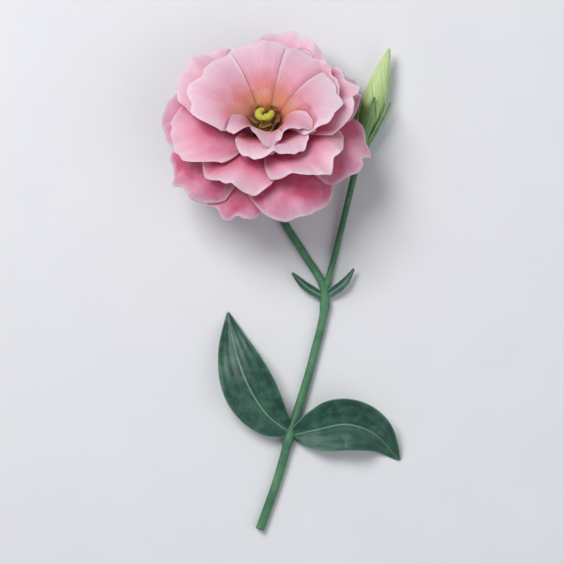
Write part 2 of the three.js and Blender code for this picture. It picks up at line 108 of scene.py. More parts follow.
# The stem, the bud and the middle of the bloom, as in the part
STEM_RADIUS = 1.75
PEDICEL_RADIUS = 1.45
SEPAL_ROOT = -1.6
SEPAL_LENGTH = 21
OVARY_FOOT = 7.3
STIGMA_HEIGHT = 15.4
BUD_FOOT = (36.5, 0, 6.7)
BUD_TIP = (47, 36, 6.3)
BUD_CUP_LENGTH = 5
BUD_SEPAL_ROOT = -1.5
BUD_SEPAL_LENGTH = 19

# Fineness and thickness of what is shown
PETAL_ROWS = 72
PETAL_COLUMNS = 108
PETAL_THICKNESS = 0.34
RIM_THICKNESS = 0.14
LEAF_THICKNESS = 0.6
LEAF_EDGE_THICKNESS = 0.22
RIM_TAPER = 5  # how far from its rim a petal has its full thickness
END_RINGS = (0.4, 0.75, 0.93)  # shares of a limb's radius at which its flat ends have rings of points
FLOOR_CLEARANCE = 0.02  # lowest that any shown point lies above the surface
PRESS_BLEND = 0.6  # height over which a blade that sinks towards the surface turns to lie along it


def unit(vectors):
    return vectors / np.linalg.norm(vectors, axis=-1, keepdims=True)


def smooth_max(a, b, blend):
    return (a + b + np.hypot(a - b, blend)) / 2


def smoothstep(low, high, x):
    t = np.clip((x - low) / (high - low), 0, 1)
    return t * t * (3 - 2 * t)


def turn_about(axis, degrees):
    """A 3x3 rotation about the X, Y or Z axis, by its number."""
    c, s = math.cos(math.radians(degrees)), math.sin(math.radians(degrees))
    i, j = [(1, 2), (2, 0), (0, 1)][axis]
    matrix = np.eye(3)
    matrix[i, i] = matrix[j, j] = c
    matrix[i, j], matrix[j, i] = -s, s
    return matrix


def turn_from_z(direction):
    """The shortest 3x3 rotation that takes +Z to a direction."""
    quaternion = Vector((0, 0, 1)).rotation_difference(Vector(direction))
    return np.array(quaternion.to_matrix())


def full_turn(count):
    """Angles spaced evenly round a circle."""
    return np.arange(count) * 2 * pi / count


def polar(radius, angle, height):
    return np.stack(np.broadcast_arrays(radius * cos(angle), radius * sin(angle), height), axis=-1)


BLOOM_TURN = turn_about(2, BLOOM_LEAN) @ turn_about(0, BLOOM_TILT - 90)
UP_IN_BLOOM = BLOOM_TURN[2]
BLOOM_AXIS = BLOOM_TURN[:, 2]


def bloom_to_layout(points):
    return points @ BLOOM_TURN.T + (0, 0, ROOT_HEIGHT)


def layout_shift():
    """Where the layout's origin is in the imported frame, from where the receptacle is."""
    top = ROOT_RADIUS - RECEPTACLE_INSET
    ends = ((top + RECEPTACLE_OPENNESS * ROOT_RADIUS_GAIN, RECEPTACLE_FOOT), (top, ROOT_TOP))
    rings = [polar(radius, full_turn(RECEPTACLE_SIDES), height) for radius, height in ends]
    points = bloom_to_layout(np.concatenate(rings))
    low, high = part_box("receptacle")
    packed = np.add(low, high) / 2 / MM
    return packed - (points.min(0) + points.max(0)) / 2


LAYOUT_SHIFT = layout_shift()


def below_bloom(distance):
    return tuple((0, 0, ROOT_HEIGHT) - BLOOM_AXIS * distance)


FORK = (22, -58, 2.2)
MAIN_PATH = [
    (-3, -150, 1.8),
    (4, -130, 1.9),
    (9, -112, 2.3),
    (17.5, -84, 1.9),
    FORK,
    (14, -43, 1.7),
    (6, -30, 2),
    (2.2, -20, 4),
    (0.9, -12, 8.2),
    below_bloom(10.5),
    below_bloom(7.3),
]
BUD_AXIS = unit(np.subtract(BUD_TIP, BUD_FOOT))
BUD_STALK_END = BUD_FOOT - BUD_AXIS * (BUD_CUP_LENGTH + TOUCH_GAP)
BUD_PATH = [FORK, (26.5, -42, 2.1), (30.6, -25, 3.6), (33.6, -12, 5.6), tuple(BUD_STALK_END)]


# Meshes


def quads_of(index):
    """The quads of a grid of vertex numbers, with its front towards row cross column."""
    return np.stack([index[:-1, :-1], index[1:, :-1], index[1:, 1:], index[:-1, 1:]], axis=-1).reshape(-1, 4)


def added(name, data, place=(0, 0, 0)):
    """A new object in the scene."""
    made = bpy.data.objects.new(name, data)
    made.location = place
    bpy.context.scene.collection.objects.link(made)
    return made


def add_mesh(name, vertices, faces, numbers=None, unwrapped=False):
    """A smooth mesh object from layout points in millimetres. numbers holds one for each vertex under each
    name, and an unwrapped mesh has its share and across as its UV map."""
    points = (vertices + LAYOUT_SHIFT) * MM
    points[:, 2] = np.maximum(points[:, 2], FLOOR_CLEARANCE * MM)
    mesh = bpy.data.meshes.new(name)
    mesh.from_pydata(points.tolist(), [], [list(face) for face in faces])
    mesh.update()
    for key, values in (numbers or {}).items():
        layer = mesh.attributes.new(key, "FLOAT", "POINT")
        layer.data.foreach_set("value", np.asarray(values, np.float32).ravel())
    if unwrapped:
        flat = np.stack([numbers["across"] * 0.5 + 0.5, numbers["share"]], axis=-1)
        layer = mesh.uv_layers.new(name="UVMap")
        corners = np.zeros(len(mesh.loops), np.int32)
        mesh.loops.foreach_get("vertex_index", corners)
        layer.data.foreach_set("uv", flat.astype(np.float32)[corners].ravel())
    mesh.shade_smooth()
    return added(name, mesh)


def shell(centre, thickness):
    """Vertices and faces of a closed thin blade round a grid of points. Its front is where row cross column
    points, and the vertices of the back follow those of the front."""
    rows, columns = centre.shape[:2]
    normal = unit(np.cross(np.gradient(centre, axis=0), np.gradient(centre, axis=1)))
    offset = normal * np.broadcast_to(thickness, (rows, columns))[..., None] / 2
    vertices = np.concatenate([(centre + offset).reshape(-1, 3), (centre - offset).reshape(-1, 3)])
    front = np.arange(rows * columns).reshape(rows, columns)
    back = front + rows * columns
    rim = np.concatenate([front[0, :-1], front[:-1, -1], front[-1, :0:-1], front[:0:-1, 0]])
    after = np.roll(rim, -1)
    sides = np.stack([rim, after, after + rows * columns, rim + rows * columns], axis=-1)
    faces = np.concatenate([quads_of(front), quads_of(back)[:, ::-1], sides])
    return vertices, faces


def on_both_sides(**numbers):
    """Numbers for the points of a blade, from those for its grid."""
    return {key: np.tile(values.ravel(), 2) for key, values in numbers.items()}


def grid(rows, columns, rim_share=1.0):
    """Share, 0 to 1, and across, -1 to 1, of each point of a grid, with rows closer together near the rim."""
    share = np.linspace(0, 1, rows) ** rim_share
    across = np.linspace(-1, 1, columns)
    return np.meshgrid(share, across, indexing="ij")


class Path:
    """A centripetal Catmull-Rom curve through points, sampled by its length."""

    SAMPLES = 400

    def __init__(self, points):
        points = np.array(points, float)
        ends = [2 * points[0] - points[1], 2 * points[-1] - points[-2]]
        padded = np.vstack([ends[:1], points, ends[1:]])
        sampled = []
        for p0, p1, p2, p3 in zip(padded, padded[1:], padded[2:], padded[3:]):
            t = np.linspace(0, 1, self.SAMPLES, endpoint=False)[:, None]
            sampled.append(self.piece(p0, p1, p2, p3, t))
        self.points = np.vstack([*sampled, points[-1:]])
        steps = np.linalg.norm(np.diff(self.points, axis=0), axis=1)
        self.along = np.concatenate([[0], np.cumsum(steps)])
        self.length = self.along[-1]

    @staticmethod
    def piece(p0, p1, p2, p3, t):
        d0, d1, d2 = (np.sqrt(np.linalg.norm(b - a)) for a, b in ((p0, p1), (p1, p2), (p2, p3)))
        start = ((p1 - p0) / d0 - (p2 - p0) / (d0 + d1) + (p2 - p1) / d1) * d1
        end = ((p2 - p1) / d1 - (p3 - p1) / (d1 + d2) + (p3 - p2) / d2) * d1
        square = -3 * p1 + 3 * p2 - 2 * start - end
        cube = 2 * p1 - 2 * p2 + start + end
        return p1 + start * t + square * t**2 + cube * t**3

    def at(self, share):
        lengths = np.clip(share, 0, 1) * self.length
        return np.stack([np.interp(lengths, self.along, self.points[:, k]) for k in range(3)], axis=-1)

    def direction(self, share):
        step = 0.002
        return unit(self.at(share + step) - self.at(share - step))

    def frames(self, count):
        """Points along the path, and two directions square to it at each that turn as little as they can."""
        share = np.linspace(0, 1, count)
        points, ahead = self.at(share), self.direction(share)
        side = unit(np.cross(ahead[0], [0, 0, 1.0]))
        sides = []
        for direction in ahead:
            side = unit(side - direction * (side @ direction))
            sides.append(side)
        sides = np.array(sides)
        return share, points, sides, np.cross(ahead, sides)


def rings_closed(rings, ends):
    """Vertices and faces of a closed body of rings of points, with a last point at each end."""
    count, sides = rings.shape[:2]
    index = np.arange(count * sides).reshape(count, sides)
    faces = quads_of(np.concatenate([index, index[:, :1]], axis=1))[:, ::-1].tolist()
    first, last = count * sides, count * sides + 1
    for j in range(sides):
        k = (j + 1) % sides
        faces.append((first, index[0, k], index[0, j]))
        faces.append((last, index[-1, j], index[-1, k]))
    return np.vstack([rings.reshape(-1, 3), ends]), faces


def tube(path, radius_at, count, sides):
    """Vertices, faces, shares along it and shares of its radius, of a limb with flat ends. radius_at takes a
    share and an angle."""
    share, points, side, up = path.frames(count)
    inner = np.array(END_RINGS)
    first = np.zeros(len(inner), int)
    order = np.concatenate([first, np.arange(count), first + count - 1])
    shrink = np.concatenate([inner, np.ones(count), inner[::-1]])
    s, a = np.meshgrid(share[order], full_turn(sides), indexing="ij")
    radius = radius_at(s, a) * shrink[:, None]
    ring = cos(a)[..., None] * side[order][:, None] + sin(a)[..., None] * up[order][:, None]
    rings = points[order][:, None] + ring * radius[..., None]
    vertices, faces = rings_closed(rings, points[[0, -1]])
    return vertices, faces, np.append(s, [0, 1]), np.append(np.repeat(shrink, sides), [0, 0])


def turned(profile, sides, steps, swell=None):
    """Vertices and faces of a closed body turned about Z, through a smoothed profile of radius and height
    whose ends lie on the axis. swell takes a share and an angle, and multiplies the radius."""
    share = np.linspace(0, 1, steps)[1:-1]
    outline = Path([(r, 0, h) for r, h in profile]).at(share)
    s, a = np.meshgrid(share, full_turn(sides), indexing="ij")
    radius = outline[:, :1] * (swell(s, a) if swell else np.ones(s.shape))
    return rings_closed(polar(radius, a, outline[:, 2:]), [(0, 0, profile[0][1]), (0, 0, profile[-1][1])])


def point_numbers(mesh, key):
    values = np.zeros(len(mesh.vertices), np.float32)
    mesh.attributes[key].data.foreach_get("value", values)
    return values


def united(piece, others):
    """The piece with other closed objects joined into it as one body. Each of its points keeps the numbers
    that the nearest point had before. The others are removed."""
    parts = [piece.data, *(other.data for other in others)]
    keys = [layer.name for layer in piece.data.attributes if layer.data_type == "FLOAT"]
    numbers = {key: np.concatenate([point_numbers(mesh, key) for mesh in parts]) for key in keys}
    places = [vertex.co.copy() for mesh in parts for vertex in mesh.vertices]
    tree = KDTree(len(places))
    for number, place in enumerate(places):
        tree.insert(place, number)
    tree.balance()
    for other in others:
        joint = piece.modifiers.new("Join", "BOOLEAN")
        joint.operation = "UNION"
        joint.solver = "MANIFOLD"
        joint.object = other
    depsgraph = bpy.context.evaluated_depsgraph_get()
    mesh = bpy.data.meshes.new_from_object(piece.evaluated_get(depsgraph))
    piece.modifiers.clear()
    piece.data = mesh
    mesh.shade_smooth()
    nearest = np.array([tree.find(vertex.co)[1] for vertex in mesh.vertices])
    for key in keys:
        mesh.attributes[key].data.foreach_set("value", numbers[key][nearest])
    for other in others:
        bpy.data.objects.remove(other)
    return piece


# Petals


def lean_from_axis(openness, along):
    x = along / SHEET_REACH
    closed, gain = (a + b * x + c * x * x for a, b, c in (LEAN, LEAN_GAIN))
    return np.radians(closed + openness * gain)


def sheet_point(openness, along):
    """Radius and height of a place on the petal sheet of that openness."""
    radius = ROOT_RADIUS + ROOT_RADIUS_GAIN * openness
    height = ROOT_TOP - ROOT_DROP * openness
    for step in range(SHEET_STEPS):
        lean = lean_from_axis(openness, (step + 0.5) / SHEET_STEPS * along)
        radius = radius + sin(lean) * along / SHEET_STEPS
        height = height + cos(lean) * along / SHEET_STEPS
    return radius, height


# One row for each petal, from the innermost outwards: the direction of its midrib in degrees, its openness,
# length and half width, how far its tip, its sides and one side alone open further, its edge waves, and the
# fine frill of its margin.
PETALS = [
    # around, open, length, half, corner, tip, sides, skew, waves, phase, ruffle, frill
    (-119, 0.13, 20, 10, 0.2, 0.1, 0.02, 0.02, 1.5, 4.5, 0.2, 0.016),
    (-60, 0.17, 21, 12, 0.26, 0.12, 0, 0.14, 1.6, 4.4, 0.15, 0.016),
    (160, 0.24, 31, 20, 0.04, 0.14, 0, 0.03, 1.9, 0.3, 0.035, 0.01),
    (-6, 0.28, 30, 17, 0.08, 0.14, 0, 0.03, 2, 1.9, 0.03, 0.01),
    (30, 0.27, 31, 17, 0.03, 0.14, 0, 0.03, 1.7, 5.2, 0.035, 0.01),
    (88, 0.27, 31.5, 19, 0.03, 0.14, 0, 0.02, 1.7, 4.2, 0.035, 0.01),
    (-82, 0.35, 25, 15, 0.2, 0.1, 0.02, 0.02, 1.8, 5, 0.08, 0.016),
    (68, 0.46, 37, 19, 0.26, 0.04, 0.03, 0.04, 2, 0.5, 0.05, 0.013),
    (136, 0.5, 36.5, 19, 0.26, 0.04, 0.03, 0.04, 1.9, 4.5, 0.05, 0.013),
    (14, 0.54, 34, 18, 0.26, 0.06, 0.04, 0.04, 2, 1.2, 0.06, 0.014),
    (190, 0.6, 34, 18, 0.26, 0.06, 0.04, 0.04, 1.9, 5.6, 0.08, 0.014),
    (-50, 0.63, 31, 18, 0.26, 0.08, 0.05, 0.04, 2, 2.2, 0.08, 0.015),
    (-124, 0.7, 29, 17, 0.26, 0.08, 0.05, 0.04, 1.9, 4, 0.1, 0.015),
    (36, 0.82, 37, 18.5, 0.26, 0.08, 0.05, 0.04, 2, 3, 0.05, 0.014),
    (154, 0.84, 37, 19, 0.26, 0.08, 0.05, 0.04, 1.8, 5.2, 0.06, 0.014),
    (97, 0.95, 38, 20, 0.3, 0.1, 0.04, 0.04, 1.7, 1, 0.045, 0.012),
    (-16, 0.92, 34, 18, 0.26, 0.12, 0.05, 0.04, 1.9, 0.2, 0.07, 0.014),
    (204, 0.94, 34, 17, 0.26, 0.12, 0.05, 0.04, 1.9, 3, 0.05, 0.014),
    (-72, 1, 32, 18, 0.26, 0.14, 0.05, 0.04, 1.9, 4.5, 0.07, 0.015),
    (-122, 1.08, 30, 15.5, 0.26, 0.14, 0.05, 0.04, 1.8, 1.6, 0.05, 0.014),
]
LIPS = (0, 1, 6)  # rows of the short petals at the bowl's front
WALL = (2, 3, 4, 5)  # rows of the petals that make the bowl's wall, with straight sides
FREE_SIDES = {2: 1, 3: -1}  # the side on which a petal ends the wall
FRILL_WAVES = (3.9, 6.7, 10.3)  # half turns of the margin's fine waves from its middle to its side
FRILL_SIZES = (1.0, 0.5, 0.2)
NOTCH_WAVES = (3.3, 7.1)  # likewise for the margin's outline
NOTCH_SIZES = (0.012, 0.004)
SCALLOP_SIZE = 0.015
SCALLOPS = 1.9  # scallops of the outline for each of its edge waves
POINT_SIZE = 0.045
POINT_NARROWNESS = 4.5  # the point at its tip takes one part in this of its half width
SIDE_LIMITS = (1.2, 1.1)  # how far past its side and tip a petal's outline and flare are followed
BOWL_OPENNESS = 0.4  # petals less open than this make the bowl
BOWL_GAP_SHADE_FADE = 0.8  # millimetres past an inner petal's edge over which the painted shade under it fades
GAP_SHADE_FADE = 2.6
GAP_SHADE_SAMPLES = 81


def ripple(across, waves, sizes, phases):
    """The sum of some waves across a petal, each of so many half turns from its middle to its side."""
    each = zip(waves, sizes, phases)
    return sum(size * sin(wave * pi * across + phase) for wave, size, phase in each)


class Petal:
    """A patch of a petal sheet. Lengths along it are in millimetres from its root."""

    def __init__(self, index, row):
        degrees, *shape, self.frill = row
        self.open, self.length, self.half, self.corner = shape[:4]
        self.tip, self.sides, self.skew, self.waves, self.phase, self.ruffle = shape[4:]
        self.around = math.radians(degrees)
        self.index = index
        self.free = FREE_SIDES.get(index, 0)
        draw = np.random.default_rng(100 + index)
        self.frill_phases = draw.uniform(0, 2 * pi, len(FRILL_WAVES))
        self.notch_phases = draw.uniform(0, 2 * pi, len(NOTCH_WAVES))
        self.tone = draw.uniform(-1, 1)

    def width(self, along):
        if self.index in WALL:
            return self.half * sheet_point(self.open, along)[0] / sheet_point(self.open, self.length)[0]
        claw = LIP_CLAW if self.index in LIPS else CLAW
        rise = sin(np.clip(along / (WIDEST_AT * self.length), 0, 1) * pi / 2)
        return self.half * (claw + (1 - claw) * rise**1.5)

    def corner_at(self, across):
        """How much shorter it is towards one of its sides, as a share of its length."""
        return np.where(across * self.free > 0, END_CORNER, self.corner)

    def reach(self, across):
        """Its length at a share of its half width."""
        side = np.minimum(abs(across), SIDE_LIMITS[0]) ** CORNER_POWER
        scallop = SCALLOP_SIZE * sin(self.waves * SCALLOPS * across * pi + self.phase)
        point = POINT_SIZE * np.maximum(1 - abs(across) * POINT_NARROWNESS, 0)
        notches = ripple(across, NOTCH_WAVES, NOTCH_SIZES, self.notch_phases)
        return self.length * (1 - self.corner_at(across) * side + scallop + point + notches)

    def wrap_radius(self, along):
        radius, _ = sheet_point(self.open, along)
        return np.maximum(radius, self.width(along) / MOST_WRAP)

    def around_at(self, across, along):
        return self.around + across * self.width(along) / self.wrap_radius(along)

    def place(self, around, along):
        """Shares of its length and half width at a direction, and the distance outside it."""
        turn = (around - self.around + pi) % (2 * pi) - pi
        half = self.width(along)
        across = turn * self.wrap_radius(along) / half
        inside = np.clip(across, -1, 1)
        length = self.reach(inside)
        corner = self.corner_at(inside) * CORNER_POWER * abs(inside) ** (CORNER_POWER - 1)
        past_tip = (along - length) / np.hypot(1, corner * self.length / half)
        outside = np.maximum(np.maximum((abs(across) - 1) * half, past_tip), 0)
        limit = SIDE_LIMITS[1]
        return np.minimum(along / length, limit), np.clip(across, -limit, limit), outside

    def own_openness(self, share, across):
        edge = share**2.4 * (0.6 + 0.4 * across * across)
        ruffle = sin(self.waves * pi * across + self.phase)
        frill = ripple(across, FRILL_WAVES, FRILL_SIZES, self.frill_phases)
        return (
            self.open
            + self.tip * share**3
            + self.sides * abs(across) ** 3 * share
            + self.skew * across * share
            + self.ruffle * edge * ruffle
            + self.frill * share**6 * frill
        )

    def openness(self, around, along):
        share, across, _ = self.place(around, along)
        clear = clear_of(self.index, around, along)
        return smooth_max(self.own_openness(share, across), clear, OPENNESS_BLEND)

    def points(self, share, across):
        """Places on its middle surface, in the bloom's frame."""
        along = TOUCH_GAP + share * (self.reach(across) - TOUCH_GAP)
        around = self.around_at(across, along)
        radius, height = sheet_point(self.openness(around, along), along)
        return pressed(polar(radius, around, height))


petals = [Petal(index, row) for index, row in enumerate(PETALS)]


def spread(along):
    return SPREAD[0] + SPREAD[1] * along


def clear_of(count, around, along):
    """Openness of the sheet that clears the first petals, up to a count."""
    fall = LAYER_FALL + ROOT_FALL / (1 + along)
    rise = smoothstep(0, ROOT_ZONE, along)
    clear = np.full(np.shape(along), -1.0)
    for petal in petals[:count]:
        layer = (LAYER_GAP + LAYER_GAP_GAIN * petal.open) * (1 + RUFFLE_ROOM * petal.ruffle)
        gap = ROOT_GAP + (layer - ROOT_GAP) * rise
        share, across, outside = petal.place(around, along)
        flare = (petal.own_openness(share, across) - petal.open) * exp(-outside / FLARE_FADE)
        openness = smooth_max(petal.open + flare, clear, OPENNESS_BLEND)
        clear = np.maximum(clear, openness + (gap - fall * outside) / spread(along))
    return clear


def pressed(points):
    """Points in the bloom's frame, raised where they would sink into the surface."""
    height = ROOT_HEIGHT + points @ UP_IN_BLOOM
    raised = smooth_max(height, PETAL_THICKNESS / 2, PRESS_BLEND)
    return points + (raised - height)[..., None] * UP_IN_BLOOM


def cover(petal, share, across):
    """Painted shade between petals: 1 where an inner petal covers this one, seen along the bloom's axis,
    falling to 0 past its edge.
    """
    along = share * petal.reach(across)
    around = petal.around_at(across, along)
    radius = sheet_point(petal.open, along)[0]
    lengths = np.linspace(0, 2 * SHEET_REACH, GAP_SHADE_SAMPLES)
    bare = np.full(share.shape, float(SHEET_REACH))
    for inner in petals[: petal.index]:
        inner_along = np.interp(radius, sheet_point(inner.open, lengths)[0], lengths)
        bare = np.minimum(bare, inner.place(around, inner_along)[2])
    fade = BOWL_GAP_SHADE_FADE if petal.open < BOWL_OPENNESS else GAP_SHADE_FADE
    return exp(-bare / fade)


def petal_piece(petal):
    share, across = grid(PETAL_ROWS, PETAL_COLUMNS, rim_share=0.85)
    centre = petal.points(share, across)
    to_side = (1 - abs(across)) * petal.width(share * petal.length)
    to_rim = np.minimum((1 - share) * petal.reach(across), to_side)
    thickness = RIM_THICKNESS + (PETAL_THICKNESS - RIM_THICKNESS) * smoothstep(0, RIM_TAPER, to_rim)
    vertices, faces = shell(centre, thickness)
    numbers = on_both_sides(share=share, across=across, to_rim=to_rim, cover=cover(petal, share, across))
    numbers["back"] = np.repeat([0.0, 1.0], share.size)
    numbers["layer"] = np.full(2 * share.size, petal.open)
    numbers["tone"] = np.full(2 * share.size, petal.tone)
    name = f"petal_{petal.index + 1:02d}"
    piece = add_mesh(f"{name}_skin", bloom_to_layout(vertices), faces, numbers, unwrapped=True)
    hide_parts(name)
    return piece


# Looks


def linear(code):
    """A hex colour, as seen on a screen, as the linear colour that a shader takes."""
    channels = [int(code[i : i + 2], 16) / 255 for i in (1, 3, 5)]
    values = [c / 12.92 if c <= 0.04045 else ((c + 0.055) / 1.055) ** 2.4 for c in channels]
    return (*values, 1.0)


class Look:
    """A material made of nodes, with a Principled shader. soft is its subsurface weight, scale and radii. A
    hex code will do where a colour is asked for."""

    def __init__(self, name, soft=(), **settings):
        self.material = bpy.data.materials.new(name)
        self.material.use_nodes = True
        tree = self.material.node_tree
        self.nodes, self.links = tree.nodes, tree.links
        self.shader = self.nodes["Principled BSDF"]
        settings.update(zip(("Subsurface_Weight", "Subsurface_Scale", "Subsurface_Radius"), soft))
        for key, value in settings.items():
            self.shader.inputs[key.replace("_", " ")].default_value = value

    def node(self, kind, **inputs):
        made = self.nodes.new(kind)
        for key, value in inputs.items():
            self.set(made.inputs[key.replace("_", " ")], value)
        return made

    def set(self, socket, value):
        if isinstance(value, bpy.types.NodeSocket):
            self.links.new(value, socket)
        else:
            socket.default_value = linear(value) if isinstance(value, str) else value

    def attribute(self, name):
        made = self.nodes.new("ShaderNodeAttribute")
        made.attribute_name = name
        return made.outputs["Fac"]

    def position(self):
        return self.nodes.new("ShaderNodeTexCoord").outputs["Object"]

    def math(self, operation, first, second=0, third=0):
        made = self.nodes.new("ShaderNodeMath")
        made.operation = operation
        for socket, value in zip(made.inputs, (first, second, third)):
            self.set(socket, value)
        return made.outputs[0]

    def times(self, first, second):
        return self.math("MULTIPLY", first, second)

    def away(self, value, place):
        """How far a value is from a place."""
        return self.math("ABSOLUTE", self.math("SUBTRACT", value, place))

    def scaled(self, value, low, high, to_low=0, to_high=1):
        made = self.node("ShaderNodeMapRange", Value=value)
        names = ("From Min", "From Max", "To Min", "To Max")
        for name, number in zip(names, (low, high, to_low, to_high)):
            made.inputs[name].default_value = number
        made.interpolation_type = "SMOOTHSTEP"
        return made.outputs["Result"]

    def vector(self, x, y, z=0):
        return self.node("ShaderNodeCombineXYZ", X=x, Y=y, Z=z).outputs[0]

    def noise(self, vector, scale, detail=2, roughness=0.5):
        made = self.node("ShaderNodeTexNoise", Vector=vector, Scale=scale, Detail=detail, Roughness=roughness)
        return made.outputs["Fac"]

    def mix(self, factor, first, second):
        made = self.nodes.new("ShaderNodeMix")
        made.data_type = "RGBA"
        for key, value in (("Factor", factor), (6, first), (7, second)):
            self.set(made.inputs[key], value)
        return made.outputs[2]

    def cells(self, scale, feature="F1"):
        made = self.node("ShaderNodeTexVoronoi", Vector=self.position(), Scale=scale)
        made.feature = feature
        return made.outputs["Distance"]

    def ramp(self, factor, stops):
        """A colour that follows a factor, from a hex code for each place on the way."""
        made = self.node("ShaderNodeValToRGB", Fac=factor)
        elements = made.color_ramp.elements
        elements.remove(elements[1])
        for n, (place, colour) in enumerate(stops.items()):
            element = elements[0] if n == 0 else elements.new(place)
            element.position = place
            element.color = linear(colour)
        return made.outputs["Color"]

    def bump(self, height, distance):
        return self.node("ShaderNodeBump", Height=height, Distance=distance, Strength=1.0).outputs["Normal"]

    def wear(self, colour, roughness, relief=None):
        """Puts its colour, roughness and relief on the shader."""
        self.set(self.shader.inputs["Base Color"], colour)
        self.set(self.shader.inputs["Roughness"], roughness)
        if relief is not None:
            self.set(self.shader.inputs["Normal"], relief)
        return self.material


# The darkest stops, at the bowl petals' roots, are painted shade deep in the throat.
BOWL_COLOURS = {
    0: "#2c0c12", 0.12: "#431318", 0.19: "#b0532f", 0.28: "#f0985c",
    0.43: "#eb8c73", 0.58: "#e4929f", 0.77: "#e4abbc", 1: "#edc8d5",
}
# The deep magenta near the roots is partly the petals' own deeper pink and partly painted shade under the
# inner petals.
OUTER_COLOURS = {0: "#861a43", 0.3: "#ac2555", 0.5: "#d66589", 0.68: "#e28fa9", 0.84: "#e9aabd", 1: "#efc2cf"}
UNDERSIDE_COLOURS = {0: "#c9cf9a", 0.14: "#d0708a", 0.45: "#cc5c80", 0.75: "#d98ba2", 1: "#e8b4c3"}
# Deep pink for the painted shade where an inner petal overlaps
GAP_SHADE_COLOUR = "#bf1f5b"
# Dusty mauve for painted shade on the outermost petals
OUTERMOST_SHADE_COLOUR = "#bf7593"
VEIN_COLOUR = "#c65a78"
BLOTCH_COLOUR = "#f1ccd6"
MARGIN_COLOUR = "#f3d9e2"
TONE_COLOUR = "#e48ba2"
VEINS = 17.0  # how close together the veins are, and the fine ones between them
FINE_VEINS = 46.0


def petal_look():
    soft = (0.35, 0.002, (1.0, 0.35, 0.4))
    look = Look("petal", soft=soft, Specular_IOR_Level=0.3, Sheen_Weight=0.12, Sheen_Roughness=0.45)
    names = ("share", "across", "to_rim", "back", "layer", "tone", "cover")
    share, across, to_rim, back, layer, tone, cover = map(look.attribute, names)
    # Orange runs up the bowl in streaks. Each petal gets painted shade, a deep pink, where an inner one
    # overlaps it, fading past that one's edge.
    streak = look.noise(look.vector(look.times(across, 15), share, tone), 1, 3)
    streaked = look.math("MULTIPLY_ADD", look.math("SUBTRACT", streak, 0.5), 0.2, share)
    in_bowl = look.scaled(layer, 0.38, 0.55, 1, 0)
    colour = look.mix(in_bowl, look.ramp(share, OUTER_COLOURS), look.ramp(streaked, BOWL_COLOURS))
    # The outermost petals are darkened towards a dusty mauve: painted shade.
    colour = look.mix(look.scaled(layer, 0.72, 0.84, 0, 0.55), colour, OUTERMOST_SHADE_COLOUR)
    covered = look.times(cover, look.scaled(layer, 0.38, 0.5, 0.35, 0.7))
    colour = look.mix(covered, colour, GAP_SHADE_COLOUR)
    colour = look.mix(back, colour, look.ramp(share, UNDERSIDE_COLOURS))
    # Veins fan out from the root
    wander = look.noise(look.vector(across, share, tone), 3)
    fan = look.math("MULTIPLY_ADD", wander, 0.08, across)
    coarse = look.noise(look.vector(look.times(fan, VEINS), share, tone), 1, 3)
    place = look.vector(look.times(fan, FINE_VEINS), look.times(share, 3), tone)
    fine = look.noise(place, 1, 3)
    coarse_line = look.scaled(look.away(coarse, 0.5), 0, 0.09, 1, 0)
    fine_line = look.scaled(look.away(fine, 0.5), 0, 0.12, 1, 0)
    fading = look.scaled(share, 0.35, 1, 1, 0.35)
    veins = look.times(look.math("MULTIPLY_ADD", fine_line, 0.5, coarse_line), fading)
    colour = look.mix(look.times(veins, 0.1), colour, VEIN_COLOUR)
    # Soft blotches, a paler margin, and a slightly different tone for each petal
    blotch = look.noise(look.position(), 130, 3)
    colour = look.mix(look.scaled(blotch, 0.4, 0.75, 0, 0.3), colour, BLOTCH_COLOUR)
    margin = look.scaled(look.math("MULTIPLY_ADD", blotch, 2, to_rim), 0.6, 3, 0.55, 0)
    near_tip = look.scaled(share, 0.45, 0.8)
    colour = look.mix(look.times(margin, near_tip), colour, MARGIN_COLOUR)
    colour = look.mix(look.scaled(tone, -1, 1, 0, 0.22), colour, TONE_COLOUR)
    crinkle = look.noise(look.position(), 900, 3)
    height = look.math("MULTIPLY_ADD", crinkle, 0.5, look.times(veins, -0.25))
    return look.wear(colour, look.scaled(crinkle, 0.3, 0.7, 0.42, 0.56), look.bump(height, 0.0002))


# Green parts


STEM_RINGS = 300
STALK_RINGS = 130
STEM_SIDES = 26
STALK_RADIUS = 1.2
STEM_RIDGES = 0.014  # height of the stem's fine ridges, as a share of its radius
NODE_SWELLING = 0.3  # likewise of its swellings, at shares of its length
LEAF_NODE = 0.233
FORK_NODE = 0.575
NODE_LENGTH = 0.018


def swelling(share, place):
    return exp(-(((share - place) / NODE_LENGTH) ** 2))


def stem_radius(share, angle):
    taper = STEM_RADIUS + (PEDICEL_RADIUS - STEM_RADIUS) * share
    nodes = 1 + NODE_SWELLING * swelling(share, LEAF_NODE) + NODE_SWELLING * swelling(share, FORK_NODE)
    return taper * nodes * (1 + STEM_RIDGES * sin(7 * angle) + 0.008 * sin(13 * angle + 9 * share))


def stalk_radius(share, angle):
    """It is thicker where it leaves the stem, and towards the bud."""
    return (STALK_RADIUS + 0.25 * swelling(share, 0) + 0.2 * share**6) * (1 + STEM_RIDGES * sin(6 * angle))


def stem_piece():
    limbs = []
    for name, path, radius_at, count in (
        ("stem_skin", MAIN_PATH, stem_radius, STEM_RINGS),
        ("stalk", BUD_PATH, stalk_radius, STALK_RINGS),
    ):
        vertices, faces, share, radius_share = tube(Path(path), radius_at, count, STEM_SIDES)
        cut = (1 - radius_share) * (share == 0) * (path is MAIN_PATH)
        limbs.append(add_mesh(name, vertices, faces, {"cut": cut}))
    piece = united(limbs[0], limbs[1:])
    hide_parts("stem")
    return piece


NERVE_SPACING = 0.36  # from one nerve of a leaf to the next, as a share of its half width
CRIMP = 0.22  # height of the small waves along a leaf's edge
DIP = 0.16  # depth of the groove over its midrib
QUILT = 0.08  # height of the blade between its nerves
KEEL = 0.55  # how far the midrib stands out below


